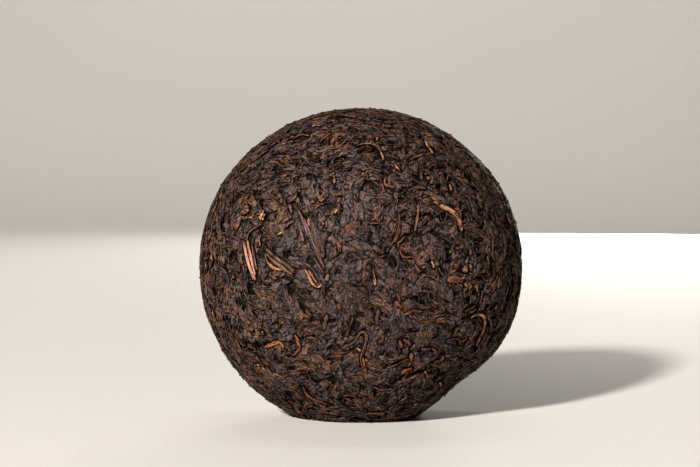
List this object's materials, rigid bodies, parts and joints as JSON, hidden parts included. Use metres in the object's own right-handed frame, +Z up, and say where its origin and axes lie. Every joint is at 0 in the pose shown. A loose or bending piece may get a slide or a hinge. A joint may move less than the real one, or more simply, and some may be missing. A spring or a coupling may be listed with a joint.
{
  "type": "pressed tea cake",
  "caption": "Tuocha: dark ripe pu-erh tea leaves pressed into a hard dome with a hollow under it, standing on its side.",
  "frame": {"origin": "on the surface the tuocha stands on, under the middle of its bounding box", "axes": "+Z up; the top of the dome faces -Y and the hollow opens towards +Y; +X is to the right when the dome is seen from the front"},
  "size_m": [0.106, 0.0621, 0.1004],
  "materials": {
    "pressed_tea": null
  },
  "bodies": {
    "root": {"tuocha": "pressed_tea"}
  },
  "joints": []
}
